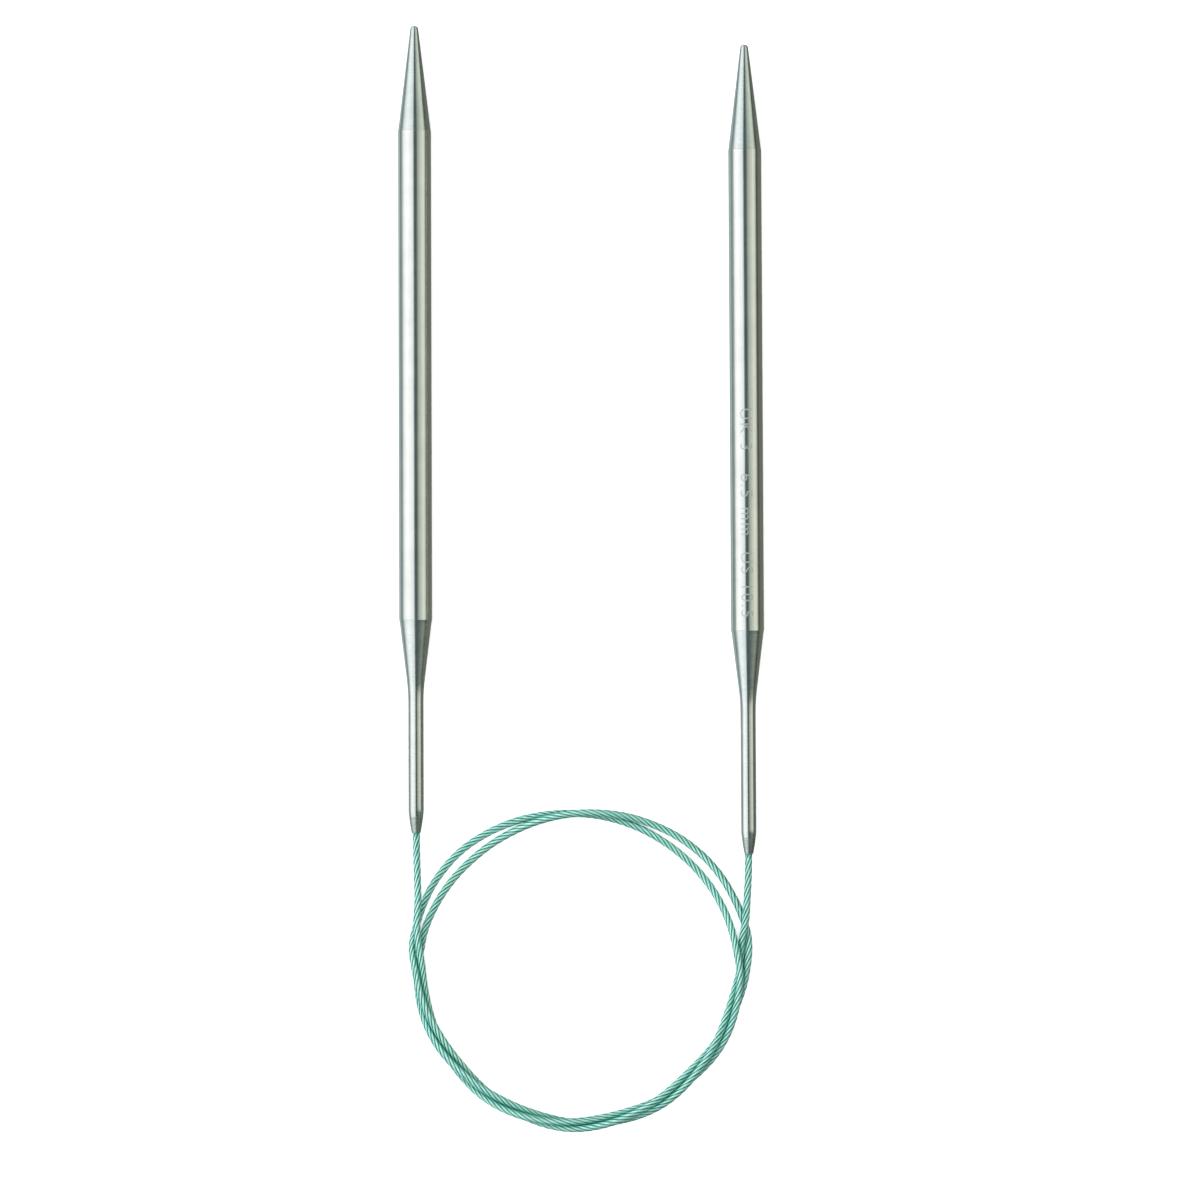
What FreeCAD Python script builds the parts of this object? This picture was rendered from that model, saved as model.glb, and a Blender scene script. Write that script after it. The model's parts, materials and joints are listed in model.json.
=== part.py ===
import FreeCAD, Part
import math
import os

# Fixed circular knitting needle, 6.5 mm size, 86 cm from point to point, lying flat with
# its cable coiled between and behind the two needles. Millimetres. +Z is up, z = 0 is
# the surface it lies on, the points face +Y, and the origin is below the middle of the
# pair of needles.
#
# Each needle is a round assembly on its own axis: a solid point, a tube for a barrel, a
# neck and an end collar. The end collar keeps a ferrule in the neck's bore. The ferrule
# is swaged on the end of the cable's wire rope, so the needle turns freely on the cable.

V = FreeCAD.Vector

# Needles. Lengths are along the needle's own axis.
NEEDLE_D = 6.5
BARREL_WALL = 0.5
POINT_LENGTH = 20.6
POINT_BASE_D = 6.4
POINT_TIP_D = 1.42
POINT_TIP_ROUNDING = 0.54
SHOULDER_LENGTH = 15.1
SHOULDER_EDGE_D = 6.2
SHOULDER_EDGE_LENGTH = 0.65
SHOULDER_BLEND = 2.3
NECK_D = 3.0
NECK_END_D = 2.76
NECK_END_LENGTH = 1.0
NECK_END_BLEND = 0.6
SPIGOT_LENGTH = 8.5
SPIGOT_CHAMFER = 0.4
JOINT_BEVEL = 0.04
GLUE_GAP = 0.02

# Left and right needles differ a little in length and in how far they lean to the left.
SIDES = {
    "left": {"exit": V(-32.47, -77.35, 3.25), "lean": 0.14, "neck": 23.65, "barrel": 96.4},
    "right": {"exit": V(33.07, -81.45, 3.25), "lean": 0.34, "neck": 25.65, "barrel": 94.8},
}

# End collar and what turns inside the neck
COLLAR_LENGTH = 3.2
COLLAR_END_D = 1.72
COLLAR_BULGE = 0.035
COLLAR_SPIGOT = 3.05
NECK_BORE_D = 2.2
RUNNING_GAP = 0.05
END_PLAY = 0.1
FERRULE_LENGTH = 6.0
FERRULE_CHAMFER = 0.15

# Cable
CABLE_D = 1.44
ROPE_D = 1.0

# Coil: the outside edge is an ellipse that loose turns push in and out. The widths say
# how far the coil's outer and inner edges lie outside that ellipse, every 30 degrees
# clockwise from the side nearest the needles.
COIL_CENTRE = V(-0.16, -104.42, 0)
COIL_HALF_X = 33.4
COIL_HALF_Y = 31.6
COIL_HEIGHT = 3.2
COIL_ROUNDING = 0.6
COIL_OUTER = (0.1, 1.1, 1.2, 0.2, -0.7, -0.4, 0.2, 0.1, -0.3, 0.4, 1.5, 1.2)
COIL_INNER = (-1.5, -2.4, -3.0, -3.0, -3.6, -3.2, -2.5, -2.6, -3.1, -2.9, -2.5, -2.4)

# Routes of the two tails. Each leaves its ferrule along the needle's axis as far as the
# bend, comes down to the edge of the coil, and goes on as a stub inside the coil's solid.
TAILS = {
    "left": (V(-32.46, -80.55, 3.25), V(-32.2, -90.0, 2.55)),
    "right": (V(33.08, -83.6, 3.25), V(32.68, -91.7, 2.6)),
}
STUB_LENGTH = 7.0
ARC_SHARE = 0.45


def rounded_path(points, setbacks):
    """Edges along the points, with a tangent arc at each inner point.

    An arc begins its setback before the point, and a setback of 0 leaves a sharp corner.
    """
    edges = []
    start = points[0]
    for before, corner, after, setback in zip(points, points[1:], points[2:], setbacks):
        if setback == 0:
            edges.append(Part.LineSegment(start, corner).toShape())
            start = corner
            continue
        back = (before - corner).normalize()
        ahead = (after - corner).normalize()
        radius = setback / math.tan(half_turn(before, corner, after))
        to_middle = radius / math.cos(half_turn(before, corner, after)) - radius
        arc_start = corner + back * setback
        arc_middle = corner + (back + ahead).normalize() * to_middle
        arc_end = corner + ahead * setback
        if (arc_start - start).Length > 1e-6:
            edges.append(Part.LineSegment(start, arc_start).toShape())
        edges.append(Part.Arc(arc_start, arc_middle, arc_end).toShape())
        start = arc_end
    edges.append(Part.LineSegment(start, points[-1]).toShape())
    return edges


def half_turn(before, corner, after):
    """Half the angle by which a route turns at a corner, in radians."""
    return (math.pi - (before - corner).getAngle(after - corner)) / 2


def turned(points, setbacks=()):
    """Solid of revolution about the Y axis from a closed outline of (radius, y) points."""
    corners = [V(radius, y, 0) for radius, y in points]
    corners.append(corners[0])
    setbacks = list(setbacks) + [0] * (len(corners) - 2 - len(setbacks))
    outline = Part.Wire(rounded_path(corners, setbacks))
    return Part.Face(outline).revolve(V(0, 0, 0), V(0, 1, 0), 360)


def make_point(base_y):
    """Solid cone with a blunt rounded end and a spigot that goes in the barrel."""
    spigot_r = NEEDLE_D / 2 - BARREL_WALL - GLUE_GAP
    tip_y = base_y + POINT_LENGTH
    outline = [
        (0, base_y - SPIGOT_LENGTH),
        (spigot_r - SPIGOT_CHAMFER, base_y - SPIGOT_LENGTH),
        (spigot_r, base_y - SPIGOT_LENGTH + SPIGOT_CHAMFER),
        (spigot_r, base_y),
        (POINT_BASE_D / 2, base_y),
        (POINT_TIP_D / 2, tip_y),
        (0, tip_y),
    ]
    return turned(outline, [0, 0, 0, 0, POINT_TIP_ROUNDING])


def make_barrel(start_y, length):
    """Tube with a fine bevel at each end, which shows as a joint line."""
    outer_r = NEEDLE_D / 2
    inner_r = outer_r - BARREL_WALL
    end_y = start_y + length
    outline = [
        (inner_r, start_y),
        (outer_r - JOINT_BEVEL, start_y),
        (outer_r, start_y + JOINT_BEVEL),
        (outer_r, end_y - JOINT_BEVEL),
        (outer_r - JOINT_BEVEL, end_y),
        (inner_r, end_y),
    ]
    return turned(outline)


def make_neck(length):
    """Spigot, long sloping shoulder and thin neck, bored from its rounded end for the ferrule."""
    start_y = COLLAR_LENGTH
    shoulder_y = start_y + length
    barrel_y = shoulder_y + SHOULDER_LENGTH
    spigot_r = NEEDLE_D / 2 - BARREL_WALL - GLUE_GAP
    bore_r = NECK_BORE_D / 2
    bore_end_y = start_y + COLLAR_SPIGOT + END_PLAY + FERRULE_LENGTH + END_PLAY
    outline = [
        (bore_r, start_y),
        (NECK_END_D / 2, start_y),
        (NECK_D / 2, start_y + NECK_END_LENGTH),
        (NECK_D / 2, shoulder_y + SHOULDER_BLEND / 2),
        (SHOULDER_EDGE_D / 2, barrel_y - SHOULDER_EDGE_LENGTH),
        (NEEDLE_D / 2 - JOINT_BEVEL, barrel_y),
        (spigot_r, barrel_y),
        (spigot_r, barrel_y + SPIGOT_LENGTH - SPIGOT_CHAMFER),
        (spigot_r - SPIGOT_CHAMFER, barrel_y + SPIGOT_LENGTH),
        (0, barrel_y + SPIGOT_LENGTH),
        (0, bore_end_y),
        (bore_r, bore_end_y),
    ]
    return turned(outline, [0, NECK_END_BLEND, SHOULDER_BLEND])


def make_collar():
    """Rounded cone round the cable's exit, with a spigot in the neck's bore."""
    hole_r = CABLE_D / 2 + RUNNING_GAP
    spigot_r = NECK_BORE_D / 2 - GLUE_GAP
    end_y = COLLAR_LENGTH + COLLAR_SPIGOT
    lip = V(COLLAR_END_D / 2, 0, 0)
    rim = V(NECK_END_D / 2, COLLAR_LENGTH, 0)
    middle = (lip + rim) * 0.5 + V(rim.y, -rim.x + lip.x, 0).normalize() * COLLAR_BULGE
    back = [V(spigot_r, COLLAR_LENGTH, 0), V(spigot_r, end_y, 0), V(hole_r, end_y, 0)]
    corners = [rim] + back + [V(hole_r, 0, 0), lip]
    edges = [Part.Arc(lip, middle, rim).toShape()] + rounded_path(corners, [0] * 4)
    return Part.Face(Part.Wire(edges)).revolve(V(0, 0, 0), V(0, 1, 0), 360)


def ferrule_start():
    """Distance of the ferrule's near face from the cable's exit."""
    return COLLAR_LENGTH + COLLAR_SPIGOT + END_PLAY


def make_ferrule():
    """Swaged sleeve on the bared rope."""
    outer_r = NECK_BORE_D / 2 - RUNNING_GAP
    start_y = ferrule_start()
    end_y = start_y + FERRULE_LENGTH
    outline = [
        (ROPE_D / 2, start_y),
        (outer_r - FERRULE_CHAMFER, start_y),
        (outer_r, start_y + FERRULE_CHAMFER),
        (outer_r, end_y - FERRULE_CHAMFER),
        (outer_r - FERRULE_CHAMFER, end_y),
        (ROPE_D / 2, end_y),
    ]
    return turned(outline)


def make_rope_end():
    """Bared end of the wire rope inside the ferrule."""
    rope_r = ROPE_D / 2 - GLUE_GAP
    return Part.makeCylinder(rope_r, FERRULE_LENGTH, V(0, ferrule_start(), 0), V(0, 1, 0))


def placement(side):
    """Placement that takes a needle's own axis to where that needle lies."""
    turn = FreeCAD.Rotation(V(0, 0, 1), side["lean"])
    return FreeCAD.Placement(side["exit"], turn)


def make_tail(name, side):
    """Coated cable from the ferrule to the coil, and the stub that carries it into the coil."""
    first = placement(side).multVec(V(0, ferrule_start(), 0))
    bend, coil_edge = TAILS[name]
    setback = ARC_SHARE * min((bend - first).Length, (coil_edge - bend).Length)
    path = Part.Wire(rounded_path([first, bend, coil_edge], [setback]))
    section = Part.Wire(Part.makeCircle(CABLE_D / 2, first, bend - first))
    tube = path.makePipeShell([section], True, False)
    radius = setback / math.tan(half_turn(first, bend, coil_edge))
    volume = math.pi * CABLE_D**2 / 4 * path.Length
    print(f"{name} tail: {path.Length:.2f} mm, radius {radius:.1f} mm,",
          f"volume {tube.Volume:.3f} of {volume:.3f} mm3")
    stub = Part.makeCylinder(CABLE_D / 2, STUB_LENGTH, coil_edge, coil_edge - bend)
    return tube, stub


def coil_edge_curve(offsets):
    """Closed smooth curve that lies the given distances outside the coil's ellipse."""
    points = []
    for step, offset in enumerate(offsets):
        angle = math.radians(360 * step / len(offsets))
        x = (COIL_HALF_X + offset) * math.sin(angle)
        y = (COIL_HALF_Y + offset) * math.cos(angle)
        points.append(COIL_CENTRE + V(x, y, 0))
    curve = Part.BSplineCurve()
    curve.interpolate(Points=points, PeriodicFlag=True)
    return Part.Wire(curve.toShape())


def make_coil(stubs):
    """Outer shape of the coiled cable: a rounded ring, with the stubs of both tails."""
    outside = Part.Face(coil_edge_curve(COIL_OUTER)).extrude(V(0, 0, COIL_HEIGHT))
    inside = Part.Face(coil_edge_curve(COIL_INNER)).extrude(V(0, 0, COIL_HEIGHT))
    ring = outside.cut(inside)
    rims = [edge for edge in ring.Edges if len(edge.Vertexes) == 1]
    ring = ring.makeFillet(COIL_ROUNDING, rims)
    return ring.fuse(stubs).removeSplitter()


def make_side(name, side):
    """All the round pieces of one needle and its cable end, in their places."""
    barrel_y = COLLAR_LENGTH + side["neck"] + SHOULDER_LENGTH
    pieces = {
        "point": make_point(barrel_y + side["barrel"]),
        "barrel": make_barrel(barrel_y, side["barrel"]),
        "neck": make_neck(side["neck"]),
        "end_collar": make_collar(),
        "ferrule": make_ferrule(),
        "rope_end": make_rope_end(),
    }
    for piece in pieces.values():
        piece.Placement = placement(side)
    return {f"{name}_{label}": piece for label, piece in pieces.items()}


def main():
    os.makedirs("parts", exist_ok=True)
    nodes = {}
    stubs = []
    for name, side in SIDES.items():
        nodes.update(make_side(name, side))
        nodes[f"{name}_cable_tail"], stub = make_tail(name, side)
        stubs.append(stub)
    nodes["cable_coil"] = make_coil(stubs)
    for name, shape in nodes.items():
        solid = shape.Solids[0]
        print(f"{name}: {len(shape.Solids)} solid, valid {shape.isValid()}, {solid.Volume:.2f} mm3")
        solid.exportStep(f"parts/{name}.step")


main()
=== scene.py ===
"""Looks of a fixed circular knitting needle: its materials, coiled cable, light and camera.

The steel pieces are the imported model's own. The coated cable, the bared rope ends and the
size mark are made here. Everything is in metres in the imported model's frame, unless a name
ends in _MM: +Z is up, the points face +Y, and the object lies on z = 0.
"""
import json
import math

import bmesh
import bpy
import numpy as np
from mathutils import Matrix, Vector
from mathutils.kdtree import KDTree


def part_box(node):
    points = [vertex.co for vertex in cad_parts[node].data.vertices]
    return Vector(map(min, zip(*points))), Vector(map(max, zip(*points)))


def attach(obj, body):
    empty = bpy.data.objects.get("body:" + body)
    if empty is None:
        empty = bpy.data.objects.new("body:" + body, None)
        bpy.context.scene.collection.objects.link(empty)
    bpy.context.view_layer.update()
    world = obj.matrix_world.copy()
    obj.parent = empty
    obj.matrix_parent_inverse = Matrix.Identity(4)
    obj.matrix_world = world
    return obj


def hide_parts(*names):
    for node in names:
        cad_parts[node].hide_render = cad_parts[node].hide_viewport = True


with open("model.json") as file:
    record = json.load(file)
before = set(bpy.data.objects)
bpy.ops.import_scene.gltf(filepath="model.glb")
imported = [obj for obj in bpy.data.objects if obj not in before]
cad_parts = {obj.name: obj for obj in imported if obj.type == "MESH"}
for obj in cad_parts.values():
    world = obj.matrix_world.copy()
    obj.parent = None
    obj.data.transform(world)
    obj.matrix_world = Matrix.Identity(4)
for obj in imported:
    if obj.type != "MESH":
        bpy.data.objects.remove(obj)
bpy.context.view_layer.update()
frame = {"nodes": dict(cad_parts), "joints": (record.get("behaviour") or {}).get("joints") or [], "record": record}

MM = 0.001

# Camera: straight above the middle of the picture, far off with a long lens.
VIEW_CENTRE_MM = (3.74, -31.46)
VIEW_WIDTH_MM = 236.4
CAMERA_HEIGHT_MM = 1600
NEEDLE_AXIS_Z_MM = 3.25
SENSOR_MM = 36.0

# Cable: its size, the mesh it is made as, and the painted shade that darkens its colour where passes touch and at
# the collars' mouths
CABLE_D = 1.44 * MM
ROPE_D = 0.96 * MM
STRANDS = 6
LAY_LENGTH = 9.6 * MM
COAT_GROOVE = 0.075 * MM
ROPE_GROOVE = 0.12 * MM
SEGMENTS_PER_STRAND = 8
RING_SPACING = 0.32 * MM
SPLINE_STEPS = 12
CONTACT_SHADE_REACH = 0.65 * MM
CONTACT_SHADE_DEPTH = 0.85
EXIT_SHADE = 1.0 * MM

# Route of the cable, from the right needle's ferrule to the left one's. Both tails have the
# points of the CAD tails, and the coil's points are (clock angle, offset, height): degrees
# clockwise from the side nearest the needles, how far outside the coil's ellipse, and how
# high above the surface.
RIGHT_TAIL_MM = [(33.03, -75.1, 3.25), (33.08, -83.6, 3.25), (32.68, -91.7, 2.6)]
LEFT_TAIL_MM = [(-32.08, -90.0, 2.55), (-32.44, -80.55, 3.25), (-32.49, -71.0, 3.25)]
COIL_CENTRE_MM = (-0.16, -104.42)
COIL_HALF_MM = (33.4, 31.6)
FROM_RIGHT_TAIL = [
    (73, 0.69, 2.29), (77, -0.48, 1.83), (81, -1.22, 1.14), (85, -1.47, 0.79), (89, -1.65, 0.74),
]
FIRST_LOOP = [
    (278, -1.65, 0.72), (286, -1.52, 0.72), (296, -1.74, 0.72), (306, -1.83, 0.72),
    (316, -1.89, 0.72), (326, -1.72, 0.83), (336, -1.49, 1.33), (345, -1.15, 1.92),
    (353, -0.85, 2.18), (361, -0.55, 2.21), (369, -0.3, 2.04), (377, 0.0, 1.47),
    (386, 0.21, 0.9), (395, 0.48, 0.72), (405, 0.66, 0.72), (415, 0.66, 0.72),
    (425, 0.48, 0.72), (432, 0.45, 0.72), (437, 0.53, 0.72), (441, 0.3, 1.01),
    (445, -0.08, 1.47), (449, -0.48, 1.6),
]
SECOND_LOOP = [
    (278, 0.28, 1.28), (285, 0.23, 0.85), (293, 0.48, 0.72), (303, 0.85, 0.72),
    (315, 0.99, 0.72), (326, 0.66, 0.72), (337, 0.27, 0.72), (347, -0.21, 0.72),
    (356, -0.59, 0.72), (365, -0.87, 0.72), (374, -1.19, 0.72), (384, -1.54, 0.72),
    (395, -1.92, 0.72), (406, -2.13, 0.73), (417, -2.23, 0.9), (427, -2.31, 1.33),
    (435, -2.31, 1.76), (443, -2.27, 2.07),
]
TO_LEFT_TAIL = [
    (267, -2.34, 1.66), (272, -2.15, 2.0), (277, -1.44, 2.34),
    (282, -0.59, 2.48), (287, 0.32, 2.45), (291.5, 1.06, 2.5),
]
# Along the lower half the three passes twist round each other like the strands of a rope. Each
# is on top in turn, first at TWIST_FIRST_TOP and then every TWIST_SWAP degrees of the clock.
TWIST_THIRD = 120
TWIST_RADIUS_MM = 0.87
TWIST_LOW_MM = 0.72
TWIST_FIRST_TOP = 96
TWIST_SWAP = 32.2
TWIST_STEP = 8
# Middle of the three passes: clock angle, and how far outside the coil's ellipse
TWIST_MIDDLE = [
    (90, -1.44), (105, -2.13), (135, -2.23), (150, -1.72), (165, -1.44),
    (184, -1.01), (205, -1.28), (228, -1.79), (250, -1.8), (270, -1.45),
]

# Colours of the coated strands, from the grooves between them to their crests: the coating's sea-green, darkened
# to near black in the grooves with painted shade
COATED_GREENER = [(0.12, (0.006, 0.06, 0.035)), (0.5, (0.135, 0.60, 0.45)), (1.0, (0.72, 1.0, 0.89))]
COATED_BLUER = [(0.12, (0.006, 0.06, 0.048)), (0.5, (0.125, 0.60, 0.535)), (1.0, (0.72, 1.0, 0.96))]
# Painted shade: the deep green painted where passes touch and where the cable enters the collars
COATED_CONTACT_SHADE = (0.02, 0.33, 0.23)

# Size mark on the right barrel. It starts at this place along Y, and is cut into strips.
MARK_TEXT = "UK 3   6.5 mm  US 10.5"
MARK_SIZE = 3.6 * MM
MARK_SPACING = 1.17
MARK_THINNING = 0.035 * MM
MARK_DEPTH = 0.012 * MM
MARK_START = 6.4 * MM
MARK_BASELINE = -1.32 * MM
MARK_STRIP = 0.2 * MM

# Studio: a wide tube of light along Y round the object, which only reflections see. Its stops
# are (angle, brightness, tint), in degrees from straight up and positive to the right. A cool
# softbox fills the left, and a dark gap lies overhead.
STUDIO_RADIUS = 0.6
STUDIO_LENGTH = 3.0
STUDIO_SIDES = 128
STUDIO_STRENGTH = 1.5
STUDIO = [
    (-180, 0.30, "teal"), (-129, 0.62, "teal"), (-116, 0.21, "teal"), (-100, 0.41, "teal"),
    (-80, 1.10, "white"), (-56, 1.30, "white"), (-33, 1.14, "blue"), (-14, 1.00, "blue"),
    (-7, 0.11, "sea"), (12, 0.10, "sea"), (37, 0.18, "moss"), (58, 0.28, "moss"),
    (80, 0.09, "olive"), (90, 0.07, "olive"), (100, 0.18, "olive"), (153, 0.21, "olive"),
]
# A cream softbox fills the right. Towards the cable it fades out between these two y.
CREAM_BOX = [
    (9, 0.0, "cream"), (21, 0.34, "cream"), (37, 0.48, "cream"), (60, 0.64, "cream"),
    (71, 0.60, "cream"), (84, 0.0, "cream"),
]
CREAM_BOX_END = (-0.145, -0.105)
# All of it dims and turns bluer between these distances from the middle, along Y.
FADE_START = 0.11
FADE_END = 0.20
FADE_TINT = (0.88, 0.94, 0.96)
TINTS = {
    "white": (0.985, 1.0, 0.995),
    "blue": (0.95, 1.0, 1.005),
    "teal": (0.80, 1.0, 0.99),
    "sea": (0.66, 1.0, 1.0),
    "moss": (0.86, 1.0, 0.86),
    "olive": (0.91, 1.0, 0.82),
    "cream": (0.98, 1.0, 0.86),
}
# Fill light overhead, and the floor
FILL_WATTS = 18.0
FILL_SIZE = 1.4
FILL_HEIGHT = 1.4
FLOOR_REACH = 6.0
FLOOR_DROP = 0.02 * MM
FLOOR_GLOW = 0.4


def make_camera():
    """Camera straight above, whose picture is VIEW_WIDTH_MM wide at the needles' axes."""
    data = bpy.data.cameras.new("camera")
    camera = bpy.data.objects.new("camera", data)
    bpy.context.scene.collection.objects.link(camera)
    camera.location = Vector((*VIEW_CENTRE_MM, CAMERA_HEIGHT_MM)) * MM
    data.sensor_width = SENSOR_MM
    data.lens = SENSOR_MM * (CAMERA_HEIGHT_MM - NEEDLE_AXIS_Z_MM) / VIEW_WIDTH_MM
    bpy.context.scene.camera = camera


# ---------------------------------------------------------------- node helpers

def add_node(tree, kind, inputs=None, **settings):
    """Adds a shader node. An input is a value, or another node's output to link to it."""
    node = tree.nodes.new("ShaderNode" + kind)
    for name, value in settings.items():
        setattr(node, name, value)
    for name, value in (inputs or {}).items():
        if isinstance(value, bpy.types.NodeSocket):
            tree.links.new(value, node.inputs[name])
        else:
            node.inputs[name].default_value = value
    return node


def add_math(tree, operation, *values):
    """Adds a math node and returns its output."""
    return add_node(tree, "Math", dict(enumerate(values)), operation=operation).outputs[0]


def add_noise(tree, vector, scale, detail=3.0, roughness=0.55):
    """Adds noise with the given number of features per metre and returns its factor."""
    inputs = {"Vector": vector, "Scale": scale, "Detail": detail, "Roughness": roughness}
    return add_node(tree, "TexNoise", inputs).outputs["Fac"]


def add_ramp(tree, factor, stops):
    """Adds a colour ramp of (position, colour) stops and returns its colour."""
    node = add_node(tree, "ValToRGB", {"Fac": factor})
    elements = node.color_ramp.elements
    while len(elements) < len(stops):
        elements.new(0.5)
    for element, (position, colour) in zip(elements, stops):
        element.position = position
        element.color = (*colour, 1.0)
    return node.outputs["Color"]


def add_range(tree, value, low, high):
    """Adds a range from low where value is 0 to high where value is 1."""
    return add_node(tree, "MapRange", {"Value": value, "To Min": low, "To Max": high}).outputs[0]


def add_step(tree, value, start, end):
    """Adds a smooth step from 0 where value is start to 1 where it is end."""
    inputs = {"Value": value, "From Min": start, "From Max": end}
    return add_node(tree, "MapRange", inputs, interpolation_type="SMOOTHSTEP").outputs[0]


def add_mixture(tree, first, share, second):
    """Adds a mixture of two values: this share of the first, and the rest of the second."""
    rest = add_math(tree, "MULTIPLY", second, 1 - share)
    return add_math(tree, "MULTIPLY_ADD", first, share, rest)


def new_material(name):
    """A node material with object coordinates: (material, tree, shader, coordinates)."""
    material = bpy.data.materials.new(name)
    material.use_nodes = True
    tree = material.node_tree
    coordinates = add_node(tree, "TexCoord").outputs["Object"]
    return material, tree, tree.nodes["Principled BSDF"], coordinates


def finish_metal(tree, shader, colour, gloss, height, depth, metallic=1.0):
    """Gives a metal's shader its colour, its roughness and bumps of this depth in metres."""
    bump = add_node(tree, "Bump", {"Height": height, "Strength": 1.0, "Distance": depth})
    shader.inputs["Metallic"].default_value = metallic
    tree.links.new(colour, shader.inputs["Base Color"])
    tree.links.new(gloss, shader.inputs["Roughness"])
    tree.links.new(bump.outputs[0], shader.inputs["Normal"])


# ---------------------------------------------------------------- materials

def make_steel(name, mark_scale, light, dark, roughness, mark_depth):
    """Polished steel with fine marks, which run along the axis with the smallest scale."""
    material, tree, shader, coordinates = new_material(name)
    stretched = add_node(tree, "Mapping", {"Vector": coordinates, "Scale": mark_scale})
    marks = add_noise(tree, stretched.outputs[0], 1.0, detail=4.0, roughness=0.65)
    smudges = add_noise(tree, coordinates, 260.0, detail=5.0)
    tone = add_mixture(tree, marks, 0.6, smudges)
    colour = add_ramp(tree, tone, [(0.38, dark), (0.62, light)])
    gloss = add_range(tree, tone, roughness - 0.08, roughness + 0.08)
    finish_metal(tree, shader, colour, gloss, marks, mark_depth)
    return material


def make_blasted_steel():
    """Matt grey steel, pitted by blasting, with faint turned rings."""
    material, tree, shader, coordinates = new_material("blasted_steel")
    pits = add_noise(tree, coordinates, 7000.0, detail=4.0, roughness=0.7)
    squashed = add_node(tree, "Mapping", {"Vector": coordinates, "Scale": (500, 3200, 500)})
    rings = add_noise(tree, squashed.outputs[0], 1.0, detail=3.0)
    tone = add_mixture(tree, pits, 0.5, rings)
    colour = add_ramp(tree, tone, [(0.36, (0.36, 0.38, 0.36)), (0.64, (0.66, 0.69, 0.66))])
    gloss = add_range(tree, tone, 0.25, 0.42)
    finish_metal(tree, shader, colour, gloss, pits, 0.012 * MM)
    return material


def make_etched_steel():
    """Pale frosted surface left by etching."""
    material, tree, shader, coordinates = new_material("etched_steel")
    grain = add_noise(tree, coordinates, 9000.0, detail=3.0, roughness=0.7)
    colour = add_ramp(tree, grain, [(0.3, (0.50, 0.51, 0.50)), (0.7, (0.70, 0.71, 0.70))])
    gloss = add_range(tree, grain, 0.34, 0.48)
    finish_metal(tree, shader, colour, gloss, grain, 0.006 * MM, metallic=0.85)
    return material


def add_strands(tree):
    """Reads a rope mesh's own coordinates: (height of its strands, height of their wires)."""
    crest = add_node(tree, "Attribute", attribute_name="crest").outputs["Fac"]
    around = add_node(tree, "UVMap", uv_map="wires").outputs[0]
    wave = {"Vector": around, "Scale": 1.0, "Distortion": 0.4, "Detail": 1.0}
    wires = add_node(tree, "TexWave", wave, wave_type="BANDS", bands_direction="X").outputs["Fac"]
    return crest, wires


def make_coated_cable():
    """Steel strands seen through a glossy sea-green coating, with painted shade in the grooves between strands,
    where passes touch and at the collars' mouths.
    """
    material, tree, shader, coordinates = new_material("coated_cable")
    crest, wires = add_strands(tree)
    patches = add_noise(tree, coordinates, 420.0, detail=3.0)
    depth = add_mixture(tree, wires, 0.16, crest)
    # Painted shade: both ramps darken the coating to near black in the grooves between strands
    greener = add_ramp(tree, depth, COATED_GREENER)
    bluer = add_ramp(tree, depth, COATED_BLUER)
    either = {0: add_range(tree, patches, -0.8, 1.8), 6: greener, 7: bluer}
    free = add_node(tree, "Mix", either, data_type="RGBA").outputs[2]
    # Painted shade: the colour darkens towards deep green where passes touch and where the cable enters the
    # collars
    contact_shade = add_node(tree, "Attribute", attribute_name="contact_shade").outputs["Fac"]
    shade_mix = {0: add_range(tree, contact_shade, 0.0, CONTACT_SHADE_DEPTH), 6: free, 7: (*COATED_CONTACT_SHADE, 1.0)}
    colour = add_node(tree, "Mix", shade_mix, data_type="RGBA").outputs[2]
    gloss = add_range(tree, depth, 0.34, 0.18)
    shader.inputs["Coat Weight"].default_value = 0.25
    shader.inputs["Coat Roughness"].default_value = 0.06
    finish_metal(tree, shader, colour, gloss, depth, 0.10 * MM, metallic=0.6)
    return material


def make_bare_rope():
    """Bare stranded steel wire, with painted shade darkening the grooves between strands and wires."""
    material, tree, shader, coordinates = new_material("bare_rope")
    crest, wires = add_strands(tree)
    depth = add_mixture(tree, wires, 0.3, crest)
    # Painted shade: the steel darkens to near black in the grooves between strands and wires
    colour = add_ramp(tree, depth, [(0.1, (0.10, 0.10, 0.10)), (0.8, (0.70, 0.71, 0.70))])
    gloss = add_range(tree, add_noise(tree, coordinates, 3000.0), 0.25, 0.45)
    finish_metal(tree, shader, colour, gloss, depth, 0.04 * MM)
    return material


def make_paper():
    """Plain pale floor with a faint grain."""
    material, tree, shader, coordinates = new_material("paper")
    grain = add_noise(tree, coordinates, 700.0, detail=4.0)
    colour = add_ramp(tree, grain, [(0.3, (0.90, 0.90, 0.90)), (0.7, (0.93, 0.93, 0.93))])
    shader.inputs["Emission Color"].default_value = (1.0, 1.0, 1.0, 1.0)
    shader.inputs["Emission Strength"].default_value = FLOOR_GLOW
    shader.inputs["Specular IOR Level"].default_value = 0.0
    tree.links.new(colour, shader.inputs["Base Color"])
    tree.links.new(add_range(tree, grain, 0.7, 0.8), shader.inputs["Roughness"])
    return material


# ---------------------------------------------------------------- cable

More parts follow.
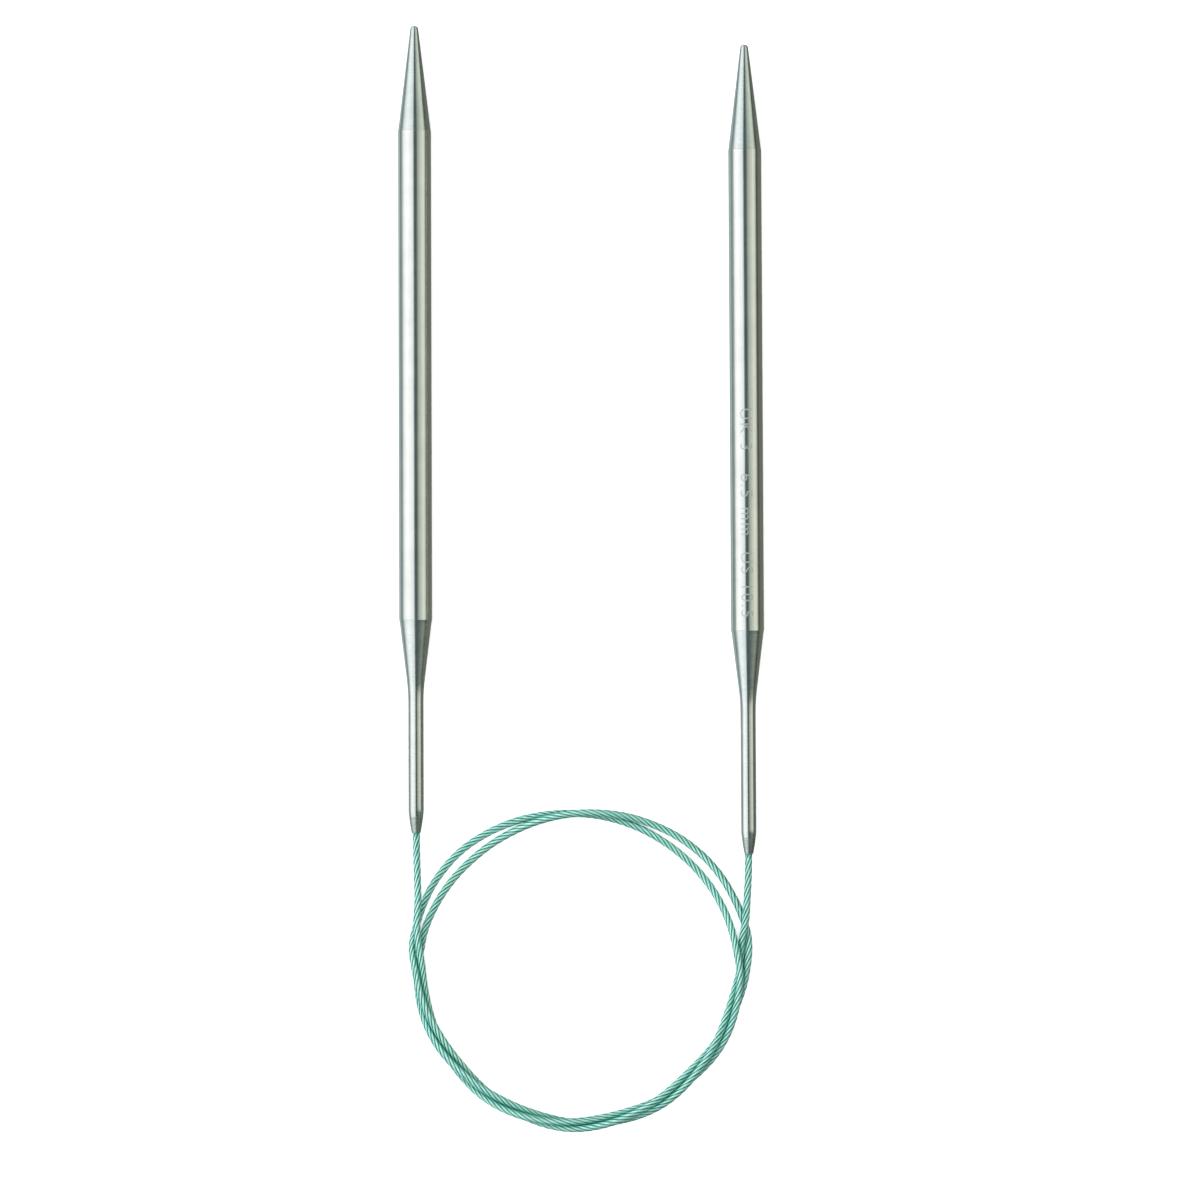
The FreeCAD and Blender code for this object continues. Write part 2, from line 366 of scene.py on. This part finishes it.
def twisted(turn, first, last, lead):
    """Stations of one pass along the lower half, where the three passes twist together.

    The lead is by how many swaps it comes to the top before the pass at TWIST_FIRST_TOP does.
    """
    clocks, offsets = zip(*TWIST_MIDDLE)
    stations = []
    for clock in range(first, last, TWIST_STEP):
        wound = TWIST_THIRD * (clock - TWIST_FIRST_TOP) / TWIST_SWAP
        phase = math.radians(90 - wound - TWIST_THIRD * lead)
        offset = float(np.interp(clock, clocks, offsets)) + TWIST_RADIUS_MM * math.cos(phase)
        height = TWIST_LOW_MM + TWIST_RADIUS_MM * (1 + math.sin(phase))
        stations.append((360 * turn + clock, offset, height))
    return stations


def coil_stations():
    """All stations of the coil's two and a half turns, clockwise from the right tail."""
    second = [(360 + clock, offset, height) for clock, offset, height in SECOND_LOOP]
    ending = [(720 + clock, offset, height) for clock, offset, height in TO_LEFT_TAIL]
    stations = FROM_RIGHT_TAIL + twisted(0, 94, 272, -1) + FIRST_LOOP + twisted(1, 95, 272, 1)
    return stations + second + twisted(2, 91, 264, 0) + ending


def cable_points():
    """Control points of the cable's route, in metres."""
    points = list(RIGHT_TAIL_MM)
    for clock, offset, height in coil_stations():
        angle = math.radians(clock)
        x = COIL_CENTRE_MM[0] + (COIL_HALF_MM[0] + offset) * math.sin(angle)
        y = COIL_CENTRE_MM[1] + (COIL_HALF_MM[1] + offset) * math.cos(angle)
        points.append((x, y, height))
    return [Vector(point) * MM for point in points + LEFT_TAIL_MM]


def read_spline(points):
    """Points along a smooth NURBS spline that has the given control points."""
    data = bpy.data.curves.new("route", "CURVE")
    data.dimensions = "3D"
    data.resolution_u = SPLINE_STEPS
    spline = data.splines.new("NURBS")
    spline.points.add(len(points) - 1)
    for control, point in zip(spline.points, points):
        control.co = (*point, 1.0)
    spline.use_endpoint_u = True
    spline.order_u = 3
    curve = bpy.data.objects.new("route", data)
    mesh = bpy.data.meshes.new_from_object(curve)
    line = np.array([vertex.co for vertex in mesh.vertices])
    bpy.data.meshes.remove(mesh)
    bpy.data.curves.remove(data)
    return line


def evenly_spaced(line):
    """Points RING_SPACING apart along a line, and each one's distance along it."""
    steps = np.linalg.norm(np.diff(line, axis=0), axis=1)
    along = np.concatenate([[0.0], np.cumsum(steps)])
    distances = np.linspace(0.0, along[-1], round(along[-1] / RING_SPACING) + 1)
    points = np.column_stack([np.interp(distances, along, line[:, axis]) for axis in range(3)])
    return points, distances


def cross_directions(points):
    """Two directions across the line at each point, carried along it without twisting."""
    tangents = np.gradient(points, axis=0)
    tangents /= np.linalg.norm(tangents, axis=1)[:, None]
    across = np.empty_like(points)
    across[0] = np.cross(tangents[0], (0.0, 0.0, 1.0))
    for index in range(len(points)):
        start = across[max(index - 1, 0)]
        sideways = start - tangents[index] * np.dot(start, tangents[index])
        across[index] = sideways / np.linalg.norm(sideways)
    return across, np.cross(tangents, across)


def make_rope_mesh(name, points, distances, radius, groove):
    """Tube with the outline of a six-strand rope, whose strands wind round to the right."""
    count = STRANDS * SEGMENTS_PER_STRAND
    phases = np.arange(count) * 2 * math.pi / count
    crests = np.abs(np.cos(phases * STRANDS / 2))
    radii = radius - groove * (1 - crests)
    across, upward = cross_directions(points)
    angles = distances[:, None] * 2 * math.pi / LAY_LENGTH + phases[None, :]
    rings = (
        points[:, None, :]
        + across[:, None, :] * (radii * np.cos(angles))[:, :, None]
        + upward[:, None, :] * (radii * np.sin(angles))[:, :, None]
    )
    corners = np.arange(len(points) * count).reshape(len(points), count)
    ahead = np.roll(corners, -1, axis=1)
    faces = np.stack([corners[:-1], ahead[:-1], ahead[1:], corners[1:]], axis=-1).reshape(-1, 4)
    caps = [corners[0, ::-1].tolist(), corners[-1].tolist()]
    mesh = bpy.data.meshes.new(name)
    mesh.from_pydata(rings.reshape(-1, 3).tolist(), [], faces.tolist() + caps)
    mesh.polygons.foreach_set("use_smooth", [True] * len(faces) + [False, False])
    add_rope_layers(mesh, crests, angles, count)
    # Painted contact shade, one value per vertex
    contact_shade = mesh.attributes.new("contact_shade", "FLOAT", "POINT")
    contact_shade.data.foreach_set("value", painted_contact_shade(points, distances, rings).ravel())
    return mesh


def painted_contact_shade(points, distances, rings):
    """Painted contact shade for each vertex, from 0 to 1: how nearly it touches another pass of the same cable, or
    how near it is to a collar's mouth.
    """
    tree = KDTree(len(points))
    for index, point in enumerate(points):
        tree.insert(point, index)
    tree.balance()
    nearness = np.zeros(rings.shape[:2])
    for index, point in enumerate(points):
        found = [other for _, other, _ in tree.find_range(point, 2 * CABLE_D)]
        others = [other for other in found if abs(distances[other] - distances[index]) > LAY_LENGTH]
        if others:
            apart = np.linalg.norm(rings[index][:, None] - points[others][None], axis=2).min(axis=1)
            nearness[index] = np.clip(1 - (apart - CABLE_D / 2) / CONTACT_SHADE_REACH, 0, 1)
    # Painted shade near the collars' mouths, where the cable enters them
    exits = np.array([joint["pos_m"] for joint in frame["joints"]])
    from_exit = np.linalg.norm(points[:, None] - exits[None], axis=2).min(axis=1)
    shade = np.clip(1 - from_exit / EXIT_SHADE, 0, 1)
    return np.maximum(nearness, shade[:, None])


def add_rope_layers(mesh, crests, angles, count):
    """Stores how near each vertex is to a strand's crest, and its place round the wires."""
    rings = len(angles)
    crest = mesh.attributes.new("crest", "FLOAT", "POINT")
    crest.data.foreach_set("value", np.tile(crests, rings))
    layer = mesh.uv_layers.new(name="wires")
    turns = angles / (2 * math.pi)
    for polygon in mesh.polygons:
        for loop in polygon.loop_indices:
            vertex = mesh.loops[loop].vertex_index
            ring, place = divmod(vertex, count)
            layer.data[loop].uv = (turns[ring, place], crests[place])


def link_piece(name, mesh, material):
    """Adds a mesh to the scene as a piece with one material."""
    piece = bpy.data.objects.new(name, mesh)
    mesh.materials.append(material)
    bpy.context.scene.collection.objects.link(piece)
    return piece


def make_rope_end(side, material):
    """Bared end of the wire rope, inside its ferrule."""
    low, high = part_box(f"{side}_rope_end")
    middle = (low + high) / 2
    start = (middle.x, low.y, middle.z)
    end = (middle.x, high.y, middle.z)
    points, distances = evenly_spaced(np.array([start, end]))
    mesh = make_rope_mesh(f"{side}_bare_rope", points, distances, ROPE_D / 2, ROPE_GROOVE)
    piece = link_piece(f"{side}_bare_rope", mesh, material)
    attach(piece, "cable")
    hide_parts(f"{side}_rope_end")
    return piece


def make_cable():
    """The coated cable from ferrule to ferrule, with the bared rope ends inside the ferrules."""
    bare_rope = make_bare_rope()
    ends = [make_rope_end(side, bare_rope) for side in ("left", "right")]
    points, distances = evenly_spaced(read_spline(cable_points()))
    mesh = make_rope_mesh("coated_cable", points, distances, CABLE_D / 2, COAT_GROOVE)
    cable = link_piece("coated_cable", mesh, make_coated_cable())
    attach(cable, "cable")
    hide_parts("left_cable_tail", "right_cable_tail", "cable_coil")


# ---------------------------------------------------------------- steel pieces

def dress_steel_pieces():
    """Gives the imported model's steel pieces their finishes."""
    drawn = make_steel(
        "drawn_steel", (7000, 45, 7000), (0.83, 0.84, 0.82), (0.72, 0.73, 0.71), 0.15, 0.0006 * MM
    )
    turned = make_steel(
        "turned_steel", (900, 8000, 900), (0.80, 0.81, 0.79), (0.68, 0.69, 0.67), 0.17, 0.0008 * MM
    )
    swaged = make_steel(
        "swaged_steel", (1500, 3000, 1500), (0.66, 0.66, 0.64), (0.48, 0.48, 0.46), 0.32, 0.003 * MM
    )
    finishes = {
        "barrel": drawn,
        "point": turned,
        "neck": turned,
        "end_collar": make_blasted_steel(),
        "ferrule": swaged,
    }
    for side in ("left", "right"):
        for label, material in finishes.items():
            mesh = frame["nodes"][f"{side}_{label}"].data
            mesh.materials.clear()
            mesh.materials.append(material)


def make_size_mark():
    """Size mark, bent round the right barrel and read from the point towards the cable."""
    text = bpy.data.curves.new("size_mark", "FONT")
    text.body = MARK_TEXT
    text.size = MARK_SIZE
    text.space_character = MARK_SPACING
    text.offset = -MARK_THINNING
    text.extrude = MARK_DEPTH
    carrier = bpy.data.objects.new("size_mark", text)
    mesh = bpy.data.meshes.new_from_object(carrier)
    bpy.data.curves.remove(text)
    slice_mesh(mesh)
    mounts = frame["record"]["mounts"]
    barrel = next(mount for mount in mounts if mount["name"] == "right_barrel")
    axis = Vector(barrel["axis"])
    middle = Vector(barrel["pos_m"])
    radius = barrel["dims"]["r_mm"] * MM
    start = middle + axis * (MARK_START - middle.y)
    outward = Vector((0, 0, 1))
    sideways = axis.cross(outward)
    for vertex in mesh.vertices:
        angle = (vertex.co.y + MARK_BASELINE) / radius
        spoke = sideways * math.sin(angle) + outward * math.cos(angle)
        vertex.co = start - axis * vertex.co.x + spoke * (radius + vertex.co.z)
    piece = link_piece("size_mark", mesh, make_etched_steel())
    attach(piece, "right_needle")


def slice_mesh(mesh):
    """Cuts flat letters into strips along their lines, so that they bend smoothly."""
    work = bmesh.new()
    work.from_mesh(mesh)
    low = min(vertex.co.y for vertex in work.verts)
    high = max(vertex.co.y for vertex in work.verts)
    height = low + MARK_STRIP
    while height < high:
        parts = work.verts[:] + work.edges[:] + work.faces[:]
        bmesh.ops.bisect_plane(work, geom=parts, plane_co=(0, height, 0), plane_no=(0, 1, 0))
        height += MARK_STRIP
    work.to_mesh(mesh)
    work.free()


# ---------------------------------------------------------------- studio

def make_floor():
    """Pale floor just below the object, which reflections don't see."""
    mesh = bpy.data.meshes.new("floor")
    work = bmesh.new()
    bmesh.ops.create_grid(work, x_segments=1, y_segments=1, size=FLOOR_REACH)
    work.to_mesh(mesh)
    work.free()
    floor = link_piece("floor", mesh, make_paper())
    floor.location.z = -FLOOR_DROP
    floor.visible_glossy = False
    floor.visible_diffuse = False


def studio_ramp(tree, turn, lights):
    """Adds a ramp of the studio's brightness by angle."""
    stops = []
    for angle, brightness, tint in lights:
        colour = [part * brightness / STUDIO_STRENGTH for part in TINTS[tint]]
        stops.append((angle / 360 + 0.5, colour))
    return add_ramp(tree, turn, stops)


def add_studio(tree, place):
    """Adds the studio's light by place: a point on the tube or, for the world, a direction."""
    x, y, z = add_node(tree, "SeparateXYZ", {0: place}).outputs
    angle = add_math(tree, "ARCTAN2", x, z)
    turn = add_math(tree, "MULTIPLY_ADD", angle, 1 / (2 * math.pi), 0.5)
    room = studio_ramp(tree, turn, STUDIO)
    cream = studio_ramp(tree, turn, CREAM_BOX)
    shown = add_step(tree, y, *CREAM_BOX_END)
    boxes = {0: shown, 6: room, 7: cream}
    lit = add_node(tree, "Mix", boxes, data_type="RGBA", blend_type="ADD").outputs[2]
    faded = add_step(tree, add_math(tree, "ABSOLUTE", y), FADE_START, FADE_END)
    ends = {0: faded, 6: lit, 7: (*FADE_TINT, 1.0)}
    return add_node(tree, "Mix", ends, data_type="RGBA", blend_type="MULTIPLY").outputs[2]


def make_softboxes():
    """Tube of light round the object, which only reflections see."""
    mesh = bpy.data.meshes.new("softboxes")
    work = bmesh.new()
    bmesh.ops.create_cone(
        work,
        segments=STUDIO_SIDES,
        radius1=STUDIO_RADIUS,
        radius2=STUDIO_RADIUS,
        depth=STUDIO_LENGTH,
        matrix=Matrix.Rotation(math.pi / 2, 4, "X"),
    )
    work.to_mesh(mesh)
    work.free()
    material = bpy.data.materials.new("softboxes")
    material.use_nodes = True
    tree = material.node_tree
    tree.nodes.clear()
    light = add_studio(tree, add_node(tree, "NewGeometry").outputs["Position"])
    glow = add_node(tree, "Emission", {"Color": light, "Strength": STUDIO_STRENGTH})
    add_node(tree, "OutputMaterial", {"Surface": glow.outputs[0]})
    tube = link_piece("softboxes", mesh, material)
    for ray in ("camera", "diffuse", "transmission", "volume_scatter", "shadow"):
        setattr(tube, f"visible_{ray}", False)


def make_world():
    """Surroundings with the studio's light. Seen directly they are plain white."""
    world = bpy.data.worlds.new("studio")
    bpy.context.scene.world = world
    world.use_nodes = True
    tree = world.node_tree
    light = add_studio(tree, add_node(tree, "TexCoord").outputs["Generated"])
    seen = add_node(tree, "LightPath").outputs["Is Camera Ray"]
    plain = {0: seen, 6: light, 7: (1, 1, 1, 1)}
    colour = add_node(tree, "Mix", plain, data_type="RGBA").outputs[2]
    background = tree.nodes["Background"]
    background.inputs["Strength"].default_value = STUDIO_STRENGTH
    tree.links.new(colour, background.inputs["Color"])


def make_fill_light():
    """Large soft light overhead, which brightens the floor and isn't mirrored in the steel."""
    data = bpy.data.lights.new("fill", "AREA")
    data.size = FILL_SIZE
    data.energy = FILL_WATTS
    light = bpy.data.objects.new("fill", data)
    bpy.context.scene.collection.objects.link(light)
    light.location = Vector((*VIEW_CENTRE_MM, 0)) * MM + Vector((0, 0, FILL_HEIGHT))
    light.visible_glossy = False
    light.visible_camera = False


make_camera()
make_cable()
dress_steel_pieces()
make_size_mark()
make_floor()
make_softboxes()
make_world()
make_fill_light()
bpy.context.scene.view_settings.view_transform = "Standard"
